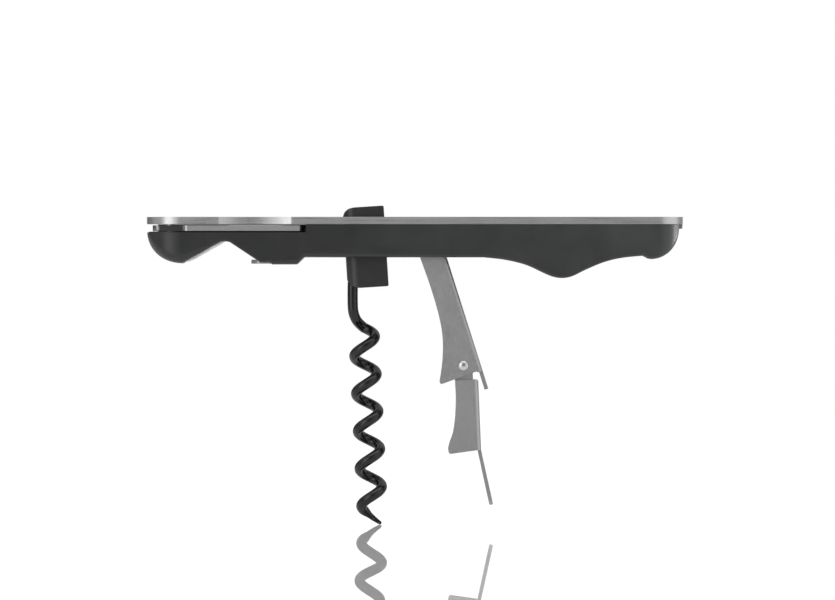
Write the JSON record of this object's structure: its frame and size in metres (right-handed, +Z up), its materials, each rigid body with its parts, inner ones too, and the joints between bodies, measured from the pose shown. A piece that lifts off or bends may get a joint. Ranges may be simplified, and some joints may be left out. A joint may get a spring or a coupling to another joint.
{
  "type": "lever corkscrew",
  "caption": "Folding waiter's corkscrew: black handle under a flat steel spine, coated worm on a pivoting block, hinged two-stage steel lever, side-swinging foil knife and crown-cap lifter.",
  "frame": {"origin": "on the steel spine's flat top face, straight above the lever's pivot, at mid-width", "axes": "+X along the handle from the foil knife's end towards the end where the folded lever's tip rests; +Z up out of the spine's top face; +Y across, away from the side the foil knife swings out of"},
  "size_m": [0.1415, 0.019, 0.0842],
  "materials": {
    "spine_steel": "fine lengthwise brushing, satin",
    "lever_steel": "tumbled satin, slightly dark",
    "bright_steel": "polished",
    "frame_steel": "as stamped",
    "blade_steel": "ground satin",
    "moulded_black": "fine moulded texture, matt",
    "block_black": "smooth moulded, satin",
    "worm_coating": "low-friction black coating, satin gloss",
    "brass": "turned",
    "nylon": "natural"
  },
  "bodies": {
    "handle": {"handle_body": "moulded_black", "spine_plate": "spine_steel", "liner_front": "frame_steel", "liner_rear": "frame_steel", "worm_pivot_pin": "bright_steel", "lever_pivot_pin": "bright_steel", "worm_washer_front": "nylon", "worm_washer_rear": "nylon", "block_spring": "frame_steel", "cap_rest_liner": "bright_steel", "cap_rest_rivet": "bright_steel", "cap_lifter_tooth": "frame_steel", "lifter_screw_1": "bright_steel", "lifter_screw_2": "bright_steel", "spine_screw_1": "bright_steel", "spine_screw_2": "bright_steel", "spine_screw_3": "bright_steel", "spine_screw_4": "bright_steel", "blade_pivot_screw": "bright_steel", "blade_washer": "frame_steel", "blade_bushing": "brass", "blade_wave_washer": "frame_steel"},
    "worm": {"worm_block": "block_black", "worm_spiral": "worm_coating", "worm_bushing": "brass", "worm_lock_pin": "bright_steel"},
    "lever": {"lever_upper": "lever_steel", "knee_rivet_front": "bright_steel", "knee_rivet_rear": "bright_steel"},
    "lever_tip": {"lever_lower": "lever_steel"},
    "blade": {"foil_blade": "blade_steel"}
  },
  "joints": [
    {"name": "lever_pivot", "type": "hinge", "parent": "handle", "child": "lever", "pos_m": [0, 0, -0.00573], "axis": [0, -1, 0], "range_deg": [-25, 72.4]},
    {"name": "worm_pivot", "type": "hinge", "parent": "handle", "child": "worm", "pos_m": [-0.0161, 0, -0.00573], "axis": [0, -1, 0], "range_deg": [-29.1, 84.1]},
    {"name": "lever_knee", "type": "hinge", "parent": "lever", "child": "lever_tip", "pos_m": [0.00958, 0, -0.0392], "axis": [0, -1, 0], "range_deg": [-3.5, 10.1]},
    {"name": "blade_pivot", "type": "hinge", "parent": "handle", "child": "blade", "pos_m": [-0.06785, 0, -0.00297], "axis": [0, 0, -1], "range_deg": [0, 180]}
  ],
  "couplings": [
    {"joint": "worm_pivot", "follows": "lever_pivot", "ratio": 1.16},
    {"joint": "lever_knee", "follows": "lever_pivot", "ratio": 0.139}
  ]
}
